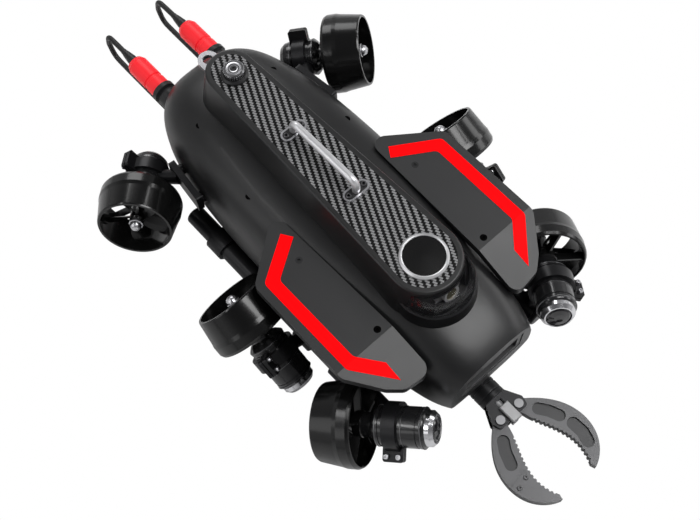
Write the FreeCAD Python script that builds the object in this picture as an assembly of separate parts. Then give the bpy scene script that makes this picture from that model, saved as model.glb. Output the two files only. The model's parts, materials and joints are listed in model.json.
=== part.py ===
import FreeCAD, Part
import math
import os

V = FreeCAD.Vector

# ---- Frame: +X towards the nose, +Y to port, +Z up. Lengths in mm. ----
# Heights are written from the thruster plane; BASE_Z lifts the finished part so that the
# underside of the belly plate lies on z = 0, under the middle of the hull.
BASE_Z = 95.0

# ---- Hull ----
WALL = 4.0
SEAM_Z = 5.0
HULL_POWER = 3.0
# Stations along X: x, half width, crown height, keel height.
HULL = [
    (-300.0, 30.0, 32.0, -14.0),
    (-293.0, 52.0, 50.0, -26.0),
    (-274.0, 71.0, 66.0, -40.0),
    (-230.0, 89.0, 79.0, -56.0),
    (-160.0, 100.0, 87.0, -69.0),
    (-80.0, 104.0, 89.0, -75.0),
    (20.0, 101.0, 89.0, -76.0),
    (110.0, 87.0, 86.0, -68.0),
    (170.0, 77.0, 79.0, -52.0),
    (204.0, 70.0, 71.0, -30.0),
    (223.0, 62.0, 63.0, -14.0),
]

NOSE_X = 222.0

# ---- Spine ridge with its inlay ----
SPINE_TOP = 129.0
SPINE_FOOT = 58.0
SPINE_REAR_X = -212.0
SPINE_REAR_R = 29.0
SPINE_FRONT_X = 108.0
SPINE_FRONT_R = 42.0
SPINE_FLARE = 13.0
INLAY_LIP = 6.5
INLAY_T = 2.0

# ---- Badge boss and camera ring ----
BADGE_R = 25.0
BADGE_T = 4.0
BADGE_LIP = 1.5
CAMERA_X = 125.0
CAMERA_R = 46.5
CAMERA_RING_W = 4.0
CAMERA_RING_Z = 100.0
WINDOW_T = 2.5
WINDOW_TOP_R = 38.0
WINDOW_TOP_Z = 122.0

# Pocket in the ridge behind the window: x0, x1, y0, y1, z0, z1.
CAMERA_POCKET = (136.0, 200.0, -24.0, 24.0, 88.0, 117.0)

# ---- Carry handle ----
HANDLE_REAR_X = -101.0
HANDLE_FRONT_X = 2.0
HANDLE_TOP = 153.0
HANDLE_BAR_R = 4.6
HANDLE_BEND_R = 9.0
FOOT_L = 34.0
FOOT_W = 15.0
FOOT_T = 3.0
FOOT_SCREW = 11.0

# ---- Knob and tow eye ----
KNOB_X = -204.0
KNOB_R = 12.5
KNOB_H = 7.0
KNOB_SKIRT_R = 16.0
KNOB_SKIRT_H = 5.0
EYE_X = SPINE_REAR_X - 38.0
EYE_Z = 96.0
EYE_R = 12.5
EYE_BORE = 6.5
EYE_T = 6.0

# ---- Wing panels ----
WING_TOP = 84.0
WING_T = 12.0
WING_BREAK_X = 130.0
WING_DROP = 0.30
WING_CORNER = 12.0
WING = [(-62.0, 70.0), (-5.0, 144.5), (136.0, 145.0), (174.0, 116.0), (187.0, 100.0), (191.0, 64.0)]
# Outer edge of the stripe, its width, where its front end is cut, and its corner radius.
STRIPE = [(-34.0, 82.0), (0.0, 134.5), (133.0, 134.5), (184.0, 91.0)]
STRIPE_FRONT_Y = 97.0
STRIPE_CORNER = 8.0
STRIPE_W = 15.0
STRIPE_SUNK = 0.6
STRIPE_PROUD = 0.5

# ---- Thrusters: the local axis runs from the free outlet to the pod ----
INLET_R = 50.0
OUTLET_R = 45.0
NOZZLE_L = 48.0
NOZZLE_T = 3.5
HUB_R = 15.0
HUB_L = 15.0
VANES = 5
VANE_T = 3.0
SHAFT_R = 4.0
RUN_FIT = 0.05
BLADES = 5
PROP_HUB_R = 9.0
TIP_GAP = 1.5
NECK_R = 14.0
NECK_L = 14.0
POD_R = 23.0
POD_L = 54.0
LAMP_POD_L = 75.0
LAMP_R = 20.0
LAMP_L = 9.0
CLAMP_W = 16.0
CLAMP_T = 4.5
CLAMP_AT = 36.0
EAR_OUT = 39.0
EAR_W = 24.0
EAR_T = 10.0
EAR_SCREW = 7.0
# Port units: inlet centre, heading and rise of the axis in degrees, direction of the ears.
THRUSTERS = {
    "rear": ((-218.0, 153.0, 4.0), 226.0, -14.0, (-0.4, 0.4, 0.85)),
    "middle": ((7.0, 162.0, 9.0), -3.0, -33.0, (0.2, 0.6, 0.75)),
    "front": ((171.0, 144.0, -2.0), -38.0, 19.0, (0.55, 0.7, -0.35)),
}

# ---- Rails, bars, belly ----
RAIL_R = 12.5
RAIL_WALL = 2.5
RAIL_Y = 107.5
RAIL_Z = -52.0
RAIL_X0 = -186.0
RAIL_X1 = 204.0
COLLAR_R = 16.5
COLLAR_W = 26.0
STRUT_R = 8.0
BELLY_L = 190.0
BELLY_W = 96.0
BELLY_T = 20.0
BELLY_HOLE_X = 75.0
BELLY_HOLE_Y = 34.0
BELLY_HOLE_R = 3.3

# ---- Gripper ----
GRIP_Z = -67.0
ARM_R = 17.0
ARM_X0 = 150.0
ARM_X1 = 232.0
PIVOT_X = 262.0
PIVOT_Y = 15.0
PIN_R = 4.0
JAW_T = 11.0
FORK_T = 4.0
FORK_GAP = 0.3

# ---- Plugs and leads ----
PLUG_Y = 41.0
PLUG_Z = 12.0
PLUG_R = 13.5
PLUG_X0 = -318.0
PLUG_L = 56.0
SOCKET_R = 14.5
LEAD_R = 3.5
LEAD_BACK_X = -438.0
LEAD_DROP = 47.0
LEAD_BEND = 21.5
LEAD_END_X = -284.0
GLAND_L = 28.0
GLAND_W = 17.0


def box(x0, x1, y0, y1, z0, z1):
    return Part.makeBox(x1 - x0, y1 - y0, z1 - z0, V(x0, y0, z0))


def cyl(r, start, end):
    start = V(*start)
    axis = V(*end) - start
    return Part.makeCylinder(r, axis.Length, start, axis)


def revolve_z(points):
    wire = Part.makePolygon([V(r, 0, z) for r, z in points + points[:1]])
    return Part.Face(wire).revolve(V(0, 0, 0), V(0, 0, 1), 360)


def prism(points, z0, z1):
    wire = Part.makePolygon([V(x, y, z0) for x, y in points + points[:1]])
    return Part.Face(wire).extrude(V(0, 0, z1 - z0))


def mirrored(shape):
    return shape.mirror(V(0, 0, 0), V(0, 1, 0))


def group(shapes):
    return Part.makeCompound(shapes)


def upright_edges(shape):
    """Edges of the shape that run parallel to Z."""
    found = []
    for edge in shape.Edges:
        low = edge.Vertexes[0].Point
        high = edge.Vertexes[-1].Point
        if abs(low.x - high.x) + abs(low.y - high.y) < 1e-4:
            found.append(edge)
    return found


# ---------------------------------------------------------------- hull

def hull_wire(x, half, top, bottom):
    points = []
    steps = 20
    for i in range(steps):
        a = 2 * math.pi * i / steps - math.pi / 2
        c = math.cos(a)
        s = math.sin(a)
        y = half * math.copysign(abs(c) ** (2 / HULL_POWER), c)
        reach = top - SEAM_Z if s >= 0 else SEAM_Z - bottom
        z = SEAM_Z + reach * math.copysign(abs(s) ** (2 / HULL_POWER), s)
        points.append(V(x, y, z))
    curve = Part.BSplineCurve()
    curve.interpolate(points, PeriodicFlag=True)
    return Part.Wire(curve.toShape())


def hull_solid(inset):
    wires = []
    for i, (x, half, top, bottom) in enumerate(HULL):
        shift = 0.0
        if i == 0:
            shift = inset * 1.6
        if i == len(HULL) - 1:
            shift = -inset * 3
        wires.append(hull_wire(x + shift, half - inset, top - inset, bottom + inset))
    return Part.makeLoft(wires, True, False)


def egg(rear_x, rear_r, front_x, front_r, z):
    """Two arcs joined by their outer tangents, seen from above."""
    lean = math.asin((front_r - rear_r) / (front_x - rear_x))
    rs = V(rear_x - rear_r * math.sin(lean), rear_r * math.cos(lean), z)
    fs = V(front_x - front_r * math.sin(lean), front_r * math.cos(lean), z)
    rp = V(rs.x, -rs.y, z)
    fp = V(fs.x, -fs.y, z)
    edges = [
        Part.LineSegment(rs, fs).toShape(),
        Part.Arc(fs, V(front_x + front_r, 0, z), fp).toShape(),
        Part.LineSegment(fp, rp).toShape(),
        Part.Arc(rp, V(rear_x - rear_r, 0, z), rs).toShape(),
    ]
    return Part.Wire(edges)


def spine(hull):
    top = egg(SPINE_REAR_X, SPINE_REAR_R, SPINE_FRONT_X, SPINE_FRONT_R, SPINE_TOP)
    foot = egg(SPINE_REAR_X, SPINE_REAR_R + SPINE_FLARE, SPINE_FRONT_X,
               SPINE_FRONT_R + SPINE_FLARE, SPINE_FOOT)
    body = Part.makeLoft([foot, top], True, True)
    rim = [e for e in body.Edges if e.BoundBox.ZMin > SPINE_TOP - 0.1]
    body = body.makeFillet(2.5, rim)
    return body.cut(hull).cut(box(*CAMERA_POCKET))


def inlay_plate():
    wire = egg(SPINE_REAR_X, SPINE_REAR_R - INLAY_LIP, SPINE_FRONT_X,
               SPINE_FRONT_R - INLAY_LIP, SPINE_TOP - INLAY_T)
    plate = Part.Face(wire).extrude(V(0, 0, INLAY_T))
    hole = Part.makeCylinder(BADGE_R + 2.0, 20, V(SPINE_FRONT_X, 0, SPINE_TOP - 10))
    socket = Part.makeCylinder(KNOB_SKIRT_R, 20, V(KNOB_X, 0, SPINE_TOP - 10))
    return plate.cut(hole).cut(socket)


def badge():
    seat = SPINE_TOP - INLAY_T
    top = seat + BADGE_T + 2.0
    ring = revolve_z([
        (BADGE_R - BADGE_LIP, 0), (BADGE_R + 2.0, 0), (BADGE_R + 2.0, BADGE_T),
        (BADGE_R, top - seat), (BADGE_R - BADGE_LIP, top - seat - 0.8),
    ])
    disc = revolve_z([
        (0, 0), (BADGE_R - BADGE_LIP, 0), (BADGE_R - BADGE_LIP, BADGE_T), (0, BADGE_T + 0.6),
    ])
    ring.translate(V(SPINE_FRONT_X, 0, seat))
    disc.translate(V(SPINE_FRONT_X, 0, seat))
    return ring, disc


def camera_parts(hull, ridge):
    """Ring round the front boss, clear band above it and the module seen behind the band."""
    ring = revolve_z([
        (CAMERA_R - CAMERA_RING_W, 55), (CAMERA_R + 5, 55),
        (CAMERA_R, CAMERA_RING_Z - 2), (CAMERA_R - 1.5, CAMERA_RING_Z),
        (CAMERA_R - CAMERA_RING_W, CAMERA_RING_Z),
    ])
    band = revolve_z([
        (CAMERA_R - CAMERA_RING_W + 0.2, CAMERA_RING_Z),
        (CAMERA_R - 0.8, CAMERA_RING_Z),
        (CAMERA_R - 3.5, 112), (WINDOW_TOP_R + 0.5, WINDOW_TOP_Z),
        (WINDOW_TOP_R - 14, WINDOW_TOP_Z + 1), (WINDOW_TOP_R - 14, WINDOW_TOP_Z + 1 - WINDOW_T),
        (WINDOW_TOP_R - 1, WINDOW_TOP_Z - WINDOW_T), (CAMERA_R - 3.8 - WINDOW_T, 111),
    ])
    for shape in (ring, band):
        shape.translate(V(CAMERA_X, 0, 0))
    front = box(CAMERA_X + 4, 200, -80, 80, 0, 200)
    ring = ring.cut(hull).cut(ridge)
    band = band.common(front).cut(ridge)
    floor = CAMERA_POCKET[4]
    module = cyl(10.5, (139, 0, 100), (152, 0, 104))
    module = module.fuse(box(137, 146, -18, 18, floor, floor + 13))
    module = module.common(box(100, 200, -40, 40, floor, 140))
    front = V(148, 0, 102.77)
    axis = V(13, 0, 4).normalize()
    well = cyl(7.5, front, front + axis * 9)
    lens = cyl(7.5, front, front + axis * 3)
    return ring, band, module.cut(well), lens


def countersunk(x, y, z, r=4.2, depth=6.0):
    screw = revolve_z([(0, -depth), (r * 0.5, -depth), (r * 0.5, -r * 0.6), (r, -0.6), (r, 0), (0, 0)])
    slot = revolve_z([(0, -1.8), (r * 0.42, -1.8), (r * 0.42, 1), (0, 1)])
    hole = screw.copy()
    screw = screw.cut(slot)
    screw.translate(V(x, y, z))
    hole.translate(V(x, y, z))
    return screw, hole


def cap_screw(r=3.0, head=4.0, shank=1.8, depth=8.0):
    """Socket head screw: head above z = 0, shank below."""
    body = revolve_z([
        (0, -depth), (shank, -depth), (shank, 0), (r, 0), (r, head - 0.5), (r - 0.5, head), (0, head),
    ])
    socket = revolve_z([(0, head - 2), (r * 0.5, head - 2), (r * 0.5, head + 1), (0, head + 1)])
    return body.cut(socket)


# ---------------------------------------------------------------- handle, knob, eye

def handle_bar():
    x0 = HANDLE_REAR_X
    x1 = HANDLE_FRONT_X
    low = SPINE_TOP + FOOT_T
    top = HANDLE_TOP - HANDLE_BAR_R
    r = HANDLE_BEND_R
    k = r * (1 - math.sqrt(0.5))
    path = Part.Wire([
        Part.LineSegment(V(x0, 0, low), V(x0, 0, top - r)).toShape(),
        Part.Arc(V(x0, 0, top - r), V(x0 + k, 0, top - k), V(x0 + r, 0, top)).toShape(),
        Part.LineSegment(V(x0 + r, 0, top), V(x1 - r, 0, top)).toShape(),
        Part.Arc(V(x1 - r, 0, top), V(x1 - k, 0, top - k), V(x1, 0, top - r)).toShape(),
        Part.LineSegment(V(x1, 0, top - r), V(x1, 0, low)).toShape(),
    ])
    ring = Part.Wire(Part.makeCircle(HANDLE_BAR_R, V(x0, 0, low), V(0, 0, 1)))
    return path.makePipeShell([ring], True, False)


def handle_foot(x):
    plate = box(x - FOOT_W / 2, x + FOOT_W / 2, -FOOT_L / 2, FOOT_L / 2, SPINE_TOP, SPINE_TOP + FOOT_T)
    plate = plate.makeFillet(FOOT_W / 2 - 0.1, upright_edges(plate))
    for y in (-FOOT_SCREW, FOOT_SCREW):
        plate = plate.cut(Part.makeCylinder(1.8, 10, V(x, y, SPINE_TOP - 2)))
    return plate


def knob_socket():
    socket = revolve_z([
        (0, -6), (KNOB_SKIRT_R, -6), (KNOB_SKIRT_R, KNOB_SKIRT_H - 2),
        (KNOB_SKIRT_R - 2, KNOB_SKIRT_H), (0, KNOB_SKIRT_H),
    ])
    socket = socket.cut(revolve_z([(0, 0), (3.05, 0), (3.05, 20), (0, 20)]))
    socket.translate(V(KNOB_X, 0, SPINE_TOP))
    return socket


def knob():
    z0 = KNOB_SKIRT_H + 0.3
    top = z0 + KNOB_H
    body = revolve_z([
        (0, 1), (3.0, 1), (3.0, z0), (KNOB_R, z0), (KNOB_R, top - 1.5), (KNOB_R - 1.5, top),
        (4.5, top), (4.5, top - 1.5), (0, top - 1.5),
    ])
    for i in range(18):
        a = 2 * math.pi * i / 18
        notch = Part.makeCylinder(1.0, 20, V(KNOB_R * math.cos(a), KNOB_R * math.sin(a), z0 + 1.5))
        body = body.cut(notch)
    body.translate(V(KNOB_X, 0, SPINE_TOP))
    return body


def tow_eye(ridge, hull):
    plate = Part.makeCylinder(EYE_R, EYE_T, V(EYE_X - 8, 0, EYE_Z))
    plate = plate.fuse(box(EYE_X - 8, EYE_X + 30, -EYE_R, EYE_R, EYE_Z, EYE_Z + EYE_T))
    plate = plate.cut(Part.makeCylinder(EYE_BORE, 30, V(EYE_X - 8, 0, EYE_Z - 10)))
    plate = plate.cut(ridge)
    return max(plate.Solids, key=lambda s: s.Volume)


# ---------------------------------------------------------------- wings

def wing_layer(top, thick):
    """Plate that is level up to the break and falls towards the nose."""
    start = WING[0][0] - 5
    end = WING[-1][0] + 9
    fall = (end - WING_BREAK_X) * WING_DROP
    outline = [
        (start, top), (WING_BREAK_X, top), (end, top - fall),
        (end, top - fall - thick), (WING_BREAK_X, top - thick), (start, top - thick),
    ]
    wire = Part.makePolygon([V(x, 30, z) for x, z in outline + outline[:1]])
    return Part.Face(wire).extrude(V(0, 140, 0))


def wing_plan():
    block = prism(WING, 0, 120)
    return block.makeFillet(WING_CORNER, upright_edges(block))


def inset_points(points, step):
    """Offset an open chain of plan points towards the hull by step."""
    lines = []
    for a, b in zip(points, points[1:]):
        dx = b[0] - a[0]
        dy = b[1] - a[1]
        run = math.hypot(dx, dy)
        nx = dy / run * step
        ny = -dx / run * step
        lines.append(((a[0] + nx, a[1] + ny), (b[0] + nx, b[1] + ny)))
    chain = [lines[0][0]]
    for (a, b), (c, d) in zip(lines, lines[1:]):
        det = (b[0] - a[0]) * (d[1] - c[1]) - (b[1] - a[1]) * (d[0] - c[0])
        t = ((c[0] - a[0]) * (d[1] - c[1]) - (c[1] - a[1]) * (d[0] - c[0])) / det
        chain.append((a[0] + t * (b[0] - a[0]), a[1] + t * (b[1] - a[1])))
    chain.append(lines[-1][1])
    return chain


def stripe_plan():
    block = prism(STRIPE + inset_points(STRIPE, STRIPE_W)[::-1], 0, 120)
    bends = [e for e in upright_edges(block) if STRIPE[0][0] + 24 < e.CenterOfMass.x < STRIPE[2][0] + 1]
    return block.makeFillet(STRIPE_CORNER, bends)


def wing_parts(hull):
    plan = wing_plan()
    wing = wing_layer(WING_TOP, WING_T).common(plan).cut(hull)
    band = wing_layer(WING_TOP + STRIPE_PROUD, STRIPE_SUNK + STRIPE_PROUD)
    band = band.common(stripe_plan())
    band = band.cut(box(STRIPE[2][0], 220, 0, STRIPE_FRONT_Y, 0, 120))
    wing = max(wing.cut(band).Solids, key=lambda s: s.Volume)
    return wing, band


def hull_height(hull, x, y):
    """Height just under the hull surface where a screw head of this part sits flush."""
    inside = Part.makeLine(V(x, y, 20), V(x, y, 120)).common(hull)
    return max(v.Point.z for v in inside.Vertexes) - 0.6


def wing_height(x):
    return WING_TOP - max(0.0, x - WING_BREAK_X) * WING_DROP


# ---------------------------------------------------------------- thrusters

def nozzle():
    """Tapered duct with five vanes and the hub that bolts to the pod neck."""
    duct = revolve_z([
        (OUTLET_R - NOZZLE_T, -NOZZLE_L), (OUTLET_R - 0.8, -NOZZLE_L), (OUTLET_R, -NOZZLE_L + 1.5),
        (INLET_R - 1.2, -20), (INLET_R, -15), (INLET_R, -4), (INLET_R - 1.5, -0.8),
        (INLET_R - 3.0, 0), (INLET_R - NOZZLE_T - 0.8, -1.5), (INLET_R - NOZZLE_T - 1.0, -12),
    ])
    hub = revolve_z([
        (SHAFT_R + RUN_FIT, -HUB_L), (HUB_R - 4, -HUB_L), (HUB_R, -HUB_L + 5), (HUB_R, -1),
        (NECK_R, 0), (SHAFT_R + RUN_FIT, 0),
    ])
    body = duct.fuse(hub)
    for i in range(VANES):
        vane = box(HUB_R - 2, INLET_R - NOZZLE_T, -VANE_T / 2, VANE_T / 2, -12, -3)
        vane.rotate(V(0, 0, 0), V(1, 0, 0), 14)
        vane.rotate(V(0, 0, 0), V(0, 0, 1), 360 * i / VANES + 18)
        body = body.fuse(vane)
    return body


def blade(tip):
    """One twisted blade lofted through three thin airfoil sections."""
    wires = []
    for r, chord, pitch in ((PROP_HUB_R - 3, 15, 48), (tip * 0.6, 25, 33), (tip, 20, 24)):
        a = math.radians(pitch)
        points = []
        for u, w in ((-0.5, 0), (-0.2, 0.07), (0.2, 0.08), (0.5, 0), (0.2, -0.045), (-0.2, -0.04)):
            across = u * chord
            through = w * chord
            points.append(V(r, across * math.cos(a) - through * math.sin(a),
                            across * math.sin(a) + through * math.cos(a)))
        wires.append(Part.makePolygon(points + points[:1]))
    return Part.makeLoft(wires, True, False)


def propeller():
    z_mid = -27.5
    taper = (INLET_R - OUTLET_R) / NOZZLE_L
    tip = OUTLET_R - NOZZLE_T + taper * 10 - TIP_GAP
    hub = revolve_z([
        (0, -48), (3.0, -47.5), (5.2, -45.5), (6.0, -42), (6.0, -38), (PROP_HUB_R - 2, -38),
        (PROP_HUB_R, -35), (PROP_HUB_R + 1, -18), (SHAFT_R + 2, -HUB_L - 0.4),
        (SHAFT_R, -HUB_L - 0.4), (SHAFT_R, 6), (0, 6),
    ])
    body = hub
    for i in range(BLADES):
        b = blade(tip)
        b.translate(V(0, 0, z_mid))
        b.rotate(V(0, 0, 0), V(0, 0, 1), 360 * i / BLADES)
        body = body.fuse(b)
    return body


def pod(length, lamp):
    end = [(POD_R, length - 5), (POD_R - 1.5, length - 1.5), (LAMP_R, length), (0, length)]
    if not lamp:
        end = [(POD_R, length - 2), (POD_R - 1, length + 3), (POD_R - 5, length + 8),
               (POD_R - 11, length + 10), (0, length + 10)]
    body = revolve_z([
        (0, 8), (SHAFT_R + RUN_FIT, 8), (SHAFT_R + RUN_FIT, 0), (NECK_R, 0), (NECK_R, NECK_L - 3),
        (POD_R - 4, NECK_L), (POD_R, NECK_L + 4), (POD_R, NECK_L + 8), (POD_R - 1, NECK_L + 8.5),
        (POD_R - 1, NECK_L + 10), (POD_R, NECK_L + 10.5), (POD_R, length - 10),
        (POD_R - 1, length - 9.5), (POD_R - 1, length - 8), (POD_R, length - 7.5),
    ] + end)
    return body


def lamp(length):
    bezel = revolve_z([
        (LAMP_R - 5, length), (LAMP_R, length), (LAMP_R, length + LAMP_L - 4),
        (LAMP_R - 3.5, length + LAMP_L), (LAMP_R - 5, length + LAMP_L),
    ])
    r = LAMP_R - 5
    lens = revolve_z([
        (0, length), (r, length), (r, length + LAMP_L - 1.5), (r * 0.8, length + LAMP_L + 0.8),
        (r * 0.4, length + LAMP_L + 2), (0, length + LAMP_L + 2.3),
    ])
    return bezel, lens


def clamp_local():
    z0 = CLAMP_AT - CLAMP_W / 2
    ring = Part.makeCylinder(POD_R + CLAMP_T, CLAMP_W, V(0, 0, z0))
    ear = box(POD_R, EAR_OUT, -EAR_T / 2, EAR_T / 2, CLAMP_AT - EAR_W / 2, CLAMP_AT + EAR_W / 2)
    long_edges = [e for e in ear.Edges if abs(e.Vertexes[0].Point.y - e.Vertexes[-1].Point.y) > 1]
    ear = ear.makeFillet(3.0, [e for e in long_edges if e.CenterOfMass.x > EAR_OUT - 1])
    slit = box(POD_R - 1, EAR_OUT + 1, -0.6, 0.6, z0 - 10, z0 + CLAMP_W + 10)
    return ring.fuse(ear).cut(slit)


def ear_screws():
    screws = []
    for dz in (-EAR_SCREW, EAR_SCREW):
        screw = cap_screw(depth=EAR_T - 1)
        screw.rotate(V(0, 0, 0), V(1, 0, 0), -90)
        screw.translate(V(EAR_OUT - 6, EAR_T / 2, CLAMP_AT + dz))
        screws.append(screw)
    return screws


def seat_frame(name):
    """Placement of the port unit: local Z is the pod direction, local X the ear direction."""
    centre, heading, rise, ear = THRUSTERS[name]
    h = math.radians(heading)
    e = math.radians(rise)
    az = V(math.cos(h) * math.cos(e), math.sin(h) * math.cos(e), math.sin(e))
    ax = V(*ear)
    ax = ax - az * ax.dot(az)
    ax.normalize()
    ay = az.cross(ax)
    m = FreeCAD.Matrix(ax.x, ay.x, az.x, centre[0], ax.y, ay.y, az.y, centre[1],
                       ax.z, ay.z, az.z, centre[2], 0, 0, 0, 1)
    return m, V(*centre), az


def moved(shape, matrix):
    copy = shape.copy()
    copy.Placement = FreeCAD.Placement(matrix).multiply(copy.Placement)
    return copy


# ---------------------------------------------------------------- export

PARTS = {}


def keep(name, shape):
    PARTS[name] = shape


def both(name, shape):
    keep(name + "_port", shape)
    keep(name + "_starboard", mirrored(shape))


def thruster_set():
    screws = []
    bezels = []
    lenses = []
    for name in THRUSTERS:
        m, centre, axis = seat_frame(name)
        lit = name != "rear"
        length = LAMP_POD_L if lit else POD_L
        both(name + "_nozzle", moved(nozzle(), m))
        both(name + "_propeller", moved(propeller(), m))
        body = moved(pod(length, lit), m)
        keep(name + "_pods", group([body, mirrored(body)]))
        clamp = mount_clamp(name, m, centre, axis)
        for screw in ear_screws():
            screw = moved(screw, m)
            clamp = clamp.cut(screw)
            screws += [screw, mirrored(screw)]
        keep(name + "_clamps", group([clamp, mirrored(clamp)]))
        if lit:
            bezel, lens = lamp(length)
            bezels += [moved(bezel, m), mirrored(moved(bezel, m))]
            lenses += [moved(lens, m), mirrored(moved(lens, m))]
    keep("clamp_screws", group(screws))
    keep("lamp_bezels", group(bezels))
    keep("lamp_lenses", group(lenses))


def bar_line():
    """Two plan points of the rear mounting bar on the port side."""
    return V(-222, 101, 14), V(-158, 108, 14)


def mount_clamp(name, m, centre, axis):
    body = moved(clamp_local(), m)
    hub = centre + axis * CLAMP_AT
    if name == "rear":
        a, b = bar_line()
        target = a + (b - a) * 0.28
        arm = cyl(STRUT_R + 1, hub, target)
        body = body.fuse(arm)
        body = body.cut(rear_bar_plate())
        body = body.cut(behind_bar())
    else:
        x = hub.x - (4.0 if name == "middle" else 12.0)
        target = V(x, RAIL_Y, RAIL_Z)
        arm = cyl(STRUT_R, hub, target)
        collar = cyl(COLLAR_R, (x - COLLAR_W / 2, RAIL_Y, RAIL_Z), (x + COLLAR_W / 2, RAIL_Y, RAIL_Z))
        body = body.fuse(arm).fuse(collar)
        body = body.cut(cyl(RAIL_R, (x - 40, RAIL_Y, RAIL_Z), (x + 40, RAIL_Y, RAIL_Z)))
    core = cyl(POD_R, centre + axis * NECK_L, centre + axis * 90)
    body = body.cut(core)
    return max(body.Solids, key=lambda s: s.Volume)


def rear_bar_plate():
    a, b = bar_line()
    run = b - a
    plate = box(0, run.Length, -4, 4, -14, 14)
    plate = plate.makeFillet(3.0, [e for e in plate.Edges if abs(e.Length - 8) < 1e-3])
    plate.rotate(V(0, 0, 0), V(0, 0, 1), math.degrees(math.atan2(run.y, run.x)))
    plate.translate(a)
    return plate


def behind_bar():
    a, b = bar_line()
    run = b - a
    block = box(-40, run.Length + 40, -80, 0, -60, 60)
    block.rotate(V(0, 0, 0), V(0, 0, 1), math.degrees(math.atan2(run.y, run.x)))
    block.translate(a)
    return block


def rear_bars(hull):
    a, b = bar_line()
    run = b - a
    plate = rear_bar_plate()
    for share in (0.14, 0.86):
        p = a + run * share
        plate = plate.fuse(cyl(7, p, (p.x + 6, p.y - 26, p.z)))
    plate = plate.cut(hull)
    plate = max(plate.Solids, key=lambda s: s.Volume)
    return group([plate, mirrored(plate)])


def rail():
    tube = cyl(RAIL_R, (RAIL_X0, RAIL_Y, RAIL_Z), (RAIL_X1, RAIL_Y, RAIL_Z))
    bore = cyl(RAIL_R - RAIL_WALL, (RAIL_X0 + 4, RAIL_Y, RAIL_Z), (RAIL_X1 - 4, RAIL_Y, RAIL_Z))
    ends = [e for e in tube.Edges if e.BoundBox.XLength < 0.1]
    return tube.makeFillet(2.5, ends).cut(bore)


def rail_brackets(hull):
    arms = []
    for x in (-130.0, 96.0):
        arm = cyl(9.0, (x, 50, RAIL_Z + 14), (x, RAIL_Y, RAIL_Z))
        collar = cyl(COLLAR_R, (x - 12, RAIL_Y, RAIL_Z), (x + 12, RAIL_Y, RAIL_Z))
        arm = arm.fuse(collar).cut(cyl(RAIL_R, (x - 60, RAIL_Y, RAIL_Z), (x + 60, RAIL_Y, RAIL_Z)))
        arm = max(arm.cut(hull).Solids, key=lambda s: s.Volume)
        arms += [arm, mirrored(arm)]
    return group(arms)


def belly_plate(hull):
    top = -BASE_Z + BELLY_T + 20
    block = box(-BELLY_L / 2, BELLY_L / 2, -BELLY_W / 2, BELLY_W / 2, -BASE_Z, top)
    block = block.makeFillet(14.0, upright_edges(block))
    low = [e for e in block.Edges if e.BoundBox.ZMax < -BASE_Z + 0.1]
    block = block.makeChamfer(3.0, low).cut(hull)
    for x in (-BELLY_HOLE_X, BELLY_HOLE_X):
        for y in (-BELLY_HOLE_Y, BELLY_HOLE_Y):
            block = block.cut(Part.makeCylinder(BELLY_HOLE_R, 14, V(x, y, -BASE_Z)))
    return max(block.Solids, key=lambda s: s.Volume)


# ---------------------------------------------------------------- nose and gripper

def nose_recess():
    return box(NOSE_X - 25, NOSE_X + 20, -46, 46, 8, 44)


def nose_frame():
    frame = box(NOSE_X - 25, NOSE_X, -46, 46, 8, 44)
    return frame.cut(box(NOSE_X - 19, NOSE_X + 10, -39, 39, 13, 39))


def gripper_arm(hull):
    """Actuator tube under the nose, hung from the hull by a saddle."""
    tube = cyl(ARM_R, (ARM_X0, 0, GRIP_Z), (ARM_X1, 0, GRIP_Z))
    ends = [e for e in tube.Edges if e.BoundBox.XLength < 0.1]
    tube = tube.makeFillet(2.0, ends)
    saddle = box(ARM_X0 + 8, ARM_X0 + 56, -11, 11, GRIP_Z, -5)
    body = tube.fuse(saddle).cut(hull)
    for x in (ARM_X0 + 64, ARM_X0 + 70):
        groove = cyl(ARM_R + 1, (x, 0, GRIP_Z), (x + 2, 0, GRIP_Z))
        groove = groove.cut(cyl(ARM_R - 1.2, (x - 1, 0, GRIP_Z), (x + 3, 0, GRIP_Z)))
        body = body.cut(groove)
    body = body.cut(cyl(5.05, (ARM_X1 - 40, 0, GRIP_Z), (ARM_X1 + 1, 0, GRIP_Z)))
    return max(body.Solids, key=lambda s: s.Volume)


def gripper_fork():
    """Two plates on a flange that carry the jaw pivots."""
    flange = cyl(ARM_R, (ARM_X1, 0, GRIP_Z), (ARM_X1 + 6, 0, GRIP_Z))
    half = JAW_T / 2 + FORK_GAP
    body = flange
    outline = [(ARM_X1 + 3, -13), (PIVOT_X - 4, -25), (PIVOT_X + 8, -22), (PIVOT_X + 8, 22),
               (PIVOT_X - 4, 25), (ARM_X1 + 3, 13)]
    for side in (-1, 1):
        z0 = GRIP_Z + side * half
        z1 = z0 + side * FORK_T
        plate = prism(outline, min(z0, z1), max(z0, z1))
        plate = plate.makeFillet(4.0, [e for e in upright_edges(plate) if e.CenterOfMass.x > PIVOT_X - 10])
        body = body.fuse(plate)
    body = body.cut(cyl(5.05, (ARM_X1 - 2, 0, GRIP_Z), (ARM_X1 + 8, 0, GRIP_Z)))
    body = body.cut(box(ARM_X1 + 11, PIVOT_X + 20, -4.8, 4.8, GRIP_Z, GRIP_Z + 20))
    for y in (-PIVOT_Y, PIVOT_Y):
        body = body.cut(Part.makeCylinder(PIN_R, 40, V(PIVOT_X, y, GRIP_Z - 20)))
    return body


def pivot_pins():
    pins = []
    half = JAW_T / 2 + FORK_GAP + FORK_T
    for y in (-PIVOT_Y, PIVOT_Y):
        pin = revolve_z([(0, -half - 2.5), (5.5, -half - 2.5), (6.2, -half), (PIN_R, -half),
                         (PIN_R, half), (6.2, half), (5.5, half + 2.5), (0, half + 2.5)])
        pin.translate(V(PIVOT_X, y, GRIP_Z))
        pins.append(pin)
    return group(pins)


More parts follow.
